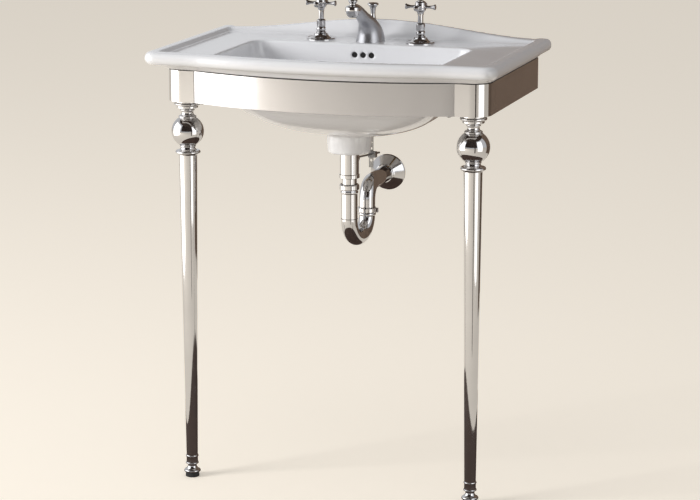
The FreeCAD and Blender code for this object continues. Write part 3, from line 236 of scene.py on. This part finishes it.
def weldedCopy(node, name):
    piece = nodes[node].copy()
    piece.data = nodes[node].data.copy()
    piece.name = name
    piece.data.name = name
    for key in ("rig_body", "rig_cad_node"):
        if key in piece:
            del piece[key]
    piece.parent = None
    bpy.context.scene.collection.objects.link(piece)
    applyModifier(piece, "WELD", merge_threshold=weldGap)
    return piece


def openTube(name, sides, radius, depth, middle, tilt=0.0):
    bpy.ops.object.select_all(action="DESELECT")
    bpy.ops.mesh.primitive_cylinder_add(vertices=sides, radius=radius, depth=depth, end_fill_type="NOTHING",
                                        location=middle, rotation=(math.radians(tilt), 0, 0))
    tube = bpy.context.object
    tube.name = name
    bpy.ops.object.transform_apply(location=True, rotation=True, scale=True)
    return tube


def dress(piece, material):
    piece.data.materials.clear()
    piece.data.materials.append(material)
    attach(piece, "fixture")


# basin: the fired clay is soft at every edge, so the solid is remeshed and relaxed under its glaze

basinGlaze = {"voxel": 0.0026, "soften": 0.5, "rounds": 8, "faces": 170000}


def makeBasin():
    piece = weldedCopy("basin", "glazedBasin")
    applyModifier(piece, "REMESH", mode="VOXEL", voxel_size=basinGlaze["voxel"])
    applyModifier(piece, "SMOOTH", factor=basinGlaze["soften"], iterations=basinGlaze["rounds"])
    faces = 2 * len(piece.data.polygons)
    if faces > basinGlaze["faces"]:
        applyModifier(piece, "DECIMATE", ratio=basinGlaze["faces"] / faces)
    onlySelect(piece)
    bpy.ops.object.shade_smooth()
    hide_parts("basin")
    dress(piece, whiteGlaze)
    print("console sink: basin has", len(piece.data.polygons), "faces")


makeBasin()


# overflow: the three bores are unlit inside, so each is lined with a dark cup of painted shade just behind
# the wall's face

overflow = {"places": (-0.017, 0.0, 0.017), "height": 0.814, "radius": 0.0050, "sides": 48, "deep": 0.007,
            "behind": 0.0006, "wall": 0.0005, "backInset": 0.0015, "near": 0.0001}


def bowlWallAt(height):
    clay = nodes["basin"].data
    tree = BVHTree.FromPolygons([v.co for v in clay.vertices], [p.vertices for p in clay.polygons])
    between = overflow["places"][1] + 0.5 * overflow["places"][2]  # a ray between two of the holes
    return tree.ray_cast(Vector((between, 0.0, height)), Vector((0, 1, 0)))[0].y


def makeOverflowShadeCup(number, x, wallFace):
    middle = wallFace + overflow["behind"] + 0.5 * overflow["deep"]
    cup = openTube("overflowShadeCup" + str(number), overflow["sides"], overflow["radius"], overflow["deep"],
                   (x, middle, overflow["height"]), 90)
    back = max(v.co.y for v in cup.data.vertices) - overflow["near"]
    for edge in cup.data.edges:
        edge.select = min(cup.data.vertices[i].co.y for i in edge.vertices) > back
    for vertex in cup.data.vertices:
        vertex.select = vertex.co.y > back
    bpy.ops.object.mode_set(mode="EDIT")
    bpy.ops.mesh.edge_face_add()
    bpy.ops.mesh.inset(thickness=overflow["backInset"])
    bpy.ops.object.mode_set(mode="OBJECT")
    applyModifier(cup, "SOLIDIFY", thickness=overflow["wall"], offset=-1.0)
    # the cup's near-black finish is painted shade for the unlit bore
    dress(cup, paintedShade)


bowlWall = bowlWallAt(overflow["height"])
for cupNumber, cupX in enumerate(overflow["places"]):
    makeOverflowShadeCup(cupNumber + 1, cupX, bowlWall)
print("console sink: overflow done")


# gap shade: a dark strip on the frame's top flanges paints the shade in the gap under the basin

gapShade = {"nodes": ("front_rail", "corner_post_left", "corner_post_right", "side_rail_left", "side_rail_right"),
        "top": 0.8055, "sheet": 0.0006, "lift": 0.0001, "thick": 0.0018, "inset": 0.0010,
        "side": 0.25}  # past this x the strip is drawn in sideways too


def makeGapShade(node):
    strip = weldedCopy(node, "gapShade_" + node)
    under = gapShade["top"] - gapShade["sheet"]
    bpy.ops.object.mode_set(mode="EDIT")
    bpy.ops.mesh.select_all(action="SELECT")
    bpy.ops.mesh.bisect(plane_co=(0, 0, under), plane_no=(0, 0, 1), use_fill=True, clear_inner=True)
    bpy.ops.object.mode_set(mode="OBJECT")
    for vertex in strip.data.vertices:
        above = (vertex.co.z - under) / gapShade["sheet"]
        vertex.co.z = gapShade["top"] + gapShade["lift"] + above * gapShade["thick"]
        vertex.co.y = min(vertex.co.y + gapShade["inset"], cadBox[1][1] - gapShade["inset"])
        if abs(vertex.co.x) > gapShade["side"]:
            vertex.co.x -= math.copysign(gapShade["inset"], vertex.co.x)
    # the strip's black rubber finish is painted shade
    dress(strip, blackRubber)


for gapShadeNode in gapShade["nodes"]:
    makeGapShade(gapShadeNode)
print("console sink: tape done")


# shade rings: at each joint and nut edge of the trap a thin dark ring of painted shade stands for the contact
# shadow there

shadeRing = {"proud": 0.0003, "tall": 0.0011, "wall": 0.0008, "round": 0.0002, "roundSteps": 2, "angle": 40.0,
        "sides": 64}
trap = {"tailRadius": 0.0143, "tailRing": 0.008, "tubeRadius": 0.0159, "riser": (0.010, 0.0895)}


def makeShadeRing(name, middle, height, radius):
    ring = openTube(name, shadeRing["sides"], radius + shadeRing["proud"], shadeRing["tall"], (*middle, height))
    applyModifier(ring, "SOLIDIFY", thickness=shadeRing["wall"], offset=-1.0)
    applyModifier(ring, "BEVEL", width=shadeRing["round"], segments=shadeRing["roundSteps"],
                  angle_limit=math.radians(shadeRing["angle"]))
    bpy.ops.object.shade_smooth()
    # the ring's near-black finish is painted shade
    dress(ring, paintedShade)


def makeShadeRings():
    low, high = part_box("trap_inlet_tube")
    inlet = (0.5 * (low[0] + high[0]), 0.5 * (low[1] + high[1]))
    makeShadeRing("bendShadeRing", inlet, low[2], trap["tubeRadius"])
    makeShadeRing("tailShadeRing", inlet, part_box("tailpiece")[1][2] - trap["tailRing"], trap["tailRadius"])
    low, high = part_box("trap_inlet_nut")
    makeShadeRing("inletNutTopShadeRing", inlet, high[2], trap["tailRadius"])
    makeShadeRing("inletNutFootShadeRing", inlet, low[2], trap["tubeRadius"])
    low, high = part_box("trap_outlet_nut")
    makeShadeRing("outletNutTopShadeRing", trap["riser"], high[2], trap["tubeRadius"])
    makeShadeRing("outletNutFootShadeRing", trap["riser"], low[2], trap["tubeRadius"])


makeShadeRings()
print("console sink: shadeRings done")


# threads: a fine ridge winds round the tails that the solids leave plain

thread = {"pitch": 0.0018, "half": 0.42, "deep": 0.0003, "radius": 0.01045, "tall": 0.0125, "start": 0.0008,
          "steps": 40}


def makeThread(node, name):
    low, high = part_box(node)
    foot = Vector((0.5 * (low[0] + high[0]), high[1] - 0.5 * (high[0] - low[0]), low[2] + thread["start"]))
    half = thread["half"] * thread["pitch"]
    root, crest = thread["radius"], thread["radius"] + thread["deep"]
    ridge = bpy.data.meshes.new(name)
    ridge.from_pydata([(root, 0, 0), (crest, 0, half), (root, 0, 2 * half)], [(0, 1), (1, 2), (2, 0)], [])
    piece = bpy.data.objects.new(name, ridge)
    bpy.context.scene.collection.objects.link(piece)
    applyModifier(piece, "SCREW", steps=thread["steps"], render_steps=thread["steps"],
                  screw_offset=thread["pitch"], iterations=int(thread["tall"] / thread["pitch"]),
                  use_smooth_shade=True)
    bpy.ops.object.mode_set(mode="EDIT")
    bpy.ops.mesh.select_all(action="SELECT")
    bpy.ops.mesh.fill_holes(sides=4)
    bpy.ops.mesh.normals_make_consistent(inside=False)
    bpy.ops.object.mode_set(mode="OBJECT")
    for vertex in piece.data.vertices:
        vertex.co += foot
    dress(piece, bareBrass)


makeThread("valve_body_left", "leftTailThread")
makeThread("valve_body_right", "rightTailThread")
print("console sink: threads done")


# frame: the folded sheet is a little round at its edges

frameEdge = {"nodes": ("front_rail", "corner_post_left", "corner_post_right", "side_rail_left",
                       "side_rail_right", "wall_brackets"),
             "round": 0.0007, "steps": 3, "angle": 35.0}


def roundFrame():
    for node in frameEdge["nodes"]:
        edge = nodes[node].modifiers.new("roundEdge", "BEVEL")
        edge.width = frameEdge["round"]
        edge.segments = frameEdge["steps"]
        edge.limit_method = "ANGLE"
        edge.angle_limit = math.radians(frameEdge["angle"])
        edge.harden_normals = True


roundFrame()
print("console sink: frame done")


# studio: a pale floor, a soft world and soft lamps, some of which only light and some only mirror

studio = {"floorSize": 60.0, "floorColour": (0.90, 0.83, 0.725), "floorGlow": 0.33, "dull": 0.9,
          "worldColour": (0.975, 0.98, 1.0), "worldShown": 0.72, "worldLevel": 0.42}
lamps = {
    "keyLamp": {"at": (-4.6, -3.7, 2.4), "aim": (0.0, -0.1, 0.8), "size": (2.2, 2.2), "power": 255.0,
                "lights": True, "mirrored": False},
    "leftLamp": {"at": (-1.75, -0.77, 1.0), "aim": (0.0, -0.1, 0.9), "size": (2.0, 2.0), "power": 22.0,
                 "lights": False, "mirrored": True},
    "rightLamp": {"at": (1.75, -0.85, 1.0), "aim": (0.0, -0.1, 0.9), "size": (1.1, 2.0), "power": 9.5,
                  "lights": False, "mirrored": True},
    "topLamp": {"at": (-0.5, -0.8, 3.2), "aim": (0.0, 0.0, 0.8), "size": (2.0, 2.0), "power": 6.0,
                "lights": True, "mirrored": True},
}


# a strength that camera, gloss and glass rays see as shown, and all other rays as lit
def addShown(tree, shown, lit):
    path = tree.nodes.new("ShaderNodeLightPath")
    seen = path.outputs["Is Camera Ray"]
    for kind in ("Is Glossy Ray", "Is Transmission Ray"):
        either = tree.nodes.new("ShaderNodeMath")
        either.operation = "MAXIMUM"
        tree.links.new(seen, either.inputs[0])
        tree.links.new(path.outputs[kind], either.inputs[1])
        seen = either.outputs["Value"]
    return addRange(tree, seen, lit, shown, 0.0, 1.0)


def makeFloor():
    bpy.ops.object.select_all(action="DESELECT")
    bpy.ops.mesh.primitive_plane_add(size=studio["floorSize"], location=(0, 0, 0))
    floor = bpy.context.object
    floor.name = "studioFloor"
    material, tree, shader = newMaterial("paleFloor")
    shader.inputs["Base Color"].default_value = (*studio["floorColour"], 1.0)
    shader.inputs["Roughness"].default_value = studio["dull"]
    shader.inputs["Specular IOR Level"].default_value = 0.0
    shader.inputs["Emission Color"].default_value = (*studio["floorColour"], 1.0)
    tree.links.new(addShown(tree, studio["floorGlow"], 0.0), shader.inputs["Emission Strength"])
    floor.data.materials.append(material)


def makeWorld():
    world = bpy.data.worlds.new("studioWorld")
    bpy.context.scene.world = world
    world.use_nodes = True
    tree = world.node_tree
    light = tree.nodes["Background"]
    light.inputs["Color"].default_value = (*studio["worldColour"], 1.0)
    tree.links.new(addShown(tree, studio["worldShown"], studio["worldLevel"]), light.inputs["Strength"])


def aimed(at, aim):
    away = (Vector(at) - Vector(aim)).normalized()
    side = Vector((0, 0, 1)).cross(away).normalized()
    turn = Matrix((side, away.cross(side), away)).transposed().to_4x4()
    turn.translation = Vector(at)
    return turn


def makeLamp(name, setup):
    light = bpy.data.lights.new(name, "AREA")
    light.shape = "RECTANGLE"
    light.size, light.size_y = setup["size"]
    light.energy = setup["power"]
    lamp = bpy.data.objects.new(name, light)
    bpy.context.scene.collection.objects.link(lamp)
    lamp.matrix_world = aimed(setup["at"], setup["aim"])
    lamp.visible_camera = False
    lamp.visible_diffuse = setup["lights"]
    lamp.visible_glossy = setup["mirrored"]


# cloths: only gloss sees them, and they give the metal its dark reflections

clothSteps = {"flag": 12, "disc": 48}
flags = {
    "rightFlag": {"from": 19.0, "to": 109.0, "radius": 1.6, "low": 0.002, "high": 2.2,
                  "colour": (0.19, 0.135, 0.10)},
    "frontFlag": {"from": -57.0, "to": -51.0, "radius": 1.3, "low": 0.002, "high": 0.9,
                  "colour": (0.08, 0.056, 0.05)},
    "upperFlag": {"from": -122.0, "to": -44.0, "radius": 1.7, "low": 0.78, "high": 2.2,
                  "colour": (0.06, 0.042, 0.036)},
}
discs = {
    "darkRug": {"at": (0.06, -0.02, 0.0005), "radius": 0.72, "colour": (0.10, 0.062, 0.046)},
    "darkCeiling": {"at": (0.05, -0.15, 2.15), "radius": 1.65, "colour": (0.07, 0.05, 0.042)},
}


def makeCloth(name, points, faces, colour):
    mesh = bpy.data.meshes.new(name)
    mesh.from_pydata(points, [], faces)
    cloth = bpy.data.objects.new(name, mesh)
    bpy.context.scene.collection.objects.link(cloth)
    material, tree, shader = newMaterial(name + "Cloth")
    shader.inputs["Base Color"].default_value = (*colour, 1.0)
    shader.inputs["Roughness"].default_value = studio["dull"]
    mesh.materials.append(material)
    cloth.visible_camera = False
    cloth.visible_diffuse = False
    cloth.visible_shadow = False
    cloth.visible_transmission = False


def makeFlag(name, setup):
    steps = clothSteps["flag"]
    bottom = []
    for k in range(steps + 1):
        angle = math.radians(setup["from"] + (setup["to"] - setup["from"]) * k / steps)
        bottom.append((setup["radius"] * math.cos(angle), setup["radius"] * math.sin(angle)))
    points = [(x, y, setup["low"]) for x, y in bottom] + [(x, y, setup["high"]) for x, y in bottom]
    faces = [(k, k + 1, k + steps + 2, k + steps + 1) for k in range(steps)]
    makeCloth(name, points, faces, setup["colour"])


def makeDisc(name, setup):
    steps = clothSteps["disc"]
    turns = [2 * math.pi * k / steps for k in range(steps)]
    x, y, z = setup["at"]
    points = [(x + setup["radius"] * math.cos(a), y + setup["radius"] * math.sin(a), z) for a in turns]
    makeCloth(name, points, [tuple(range(steps))], setup["colour"])


makeFloor()
makeWorld()
for lampName, lampSetup in lamps.items():
    makeLamp(lampName, lampSetup)
for flagName, flagSetup in flags.items():
    makeFlag(flagName, flagSetup)
for discName, discSetup in discs.items():
    makeDisc(discName, discSetup)
print("console sink: studio done")


# camera: at the photograph's viewing angle; its place is in metres, its angles in radians, its lens in mm

cameraSetup = {"at": (1.5243, -4.6146, 1.5158), "yaw": 0.3182, "pitch": 0.2164, "roll": -0.0005,
               "lens": 132.36, "sensor": 36.0}


def makeCamera():
    yaw, pitch, roll = cameraSetup["yaw"], cameraSetup["pitch"], cameraSetup["roll"]
    ahead = Vector((-math.sin(yaw) * math.cos(pitch), math.cos(yaw) * math.cos(pitch), -math.sin(pitch)))
    right = Vector((math.cos(yaw), math.sin(yaw), 0))
    above = right.cross(ahead)
    rolledRight = math.cos(roll) * right + math.sin(roll) * above
    rolledAbove = math.cos(roll) * above - math.sin(roll) * right
    turn = Matrix((rolledRight, rolledAbove, -ahead)).transposed().to_4x4()
    turn.translation = Vector(cameraSetup["at"])
    view = bpy.data.cameras.new("photoCamera")
    view.sensor_width = cameraSetup["sensor"]
    view.lens = cameraSetup["lens"]
    camera = bpy.data.objects.new("photoCamera", view)
    bpy.context.scene.collection.objects.link(camera)
    camera.matrix_world = turn
    bpy.context.scene.camera = camera


makeCamera()
bpy.context.scene.view_settings.view_transform = "Standard"
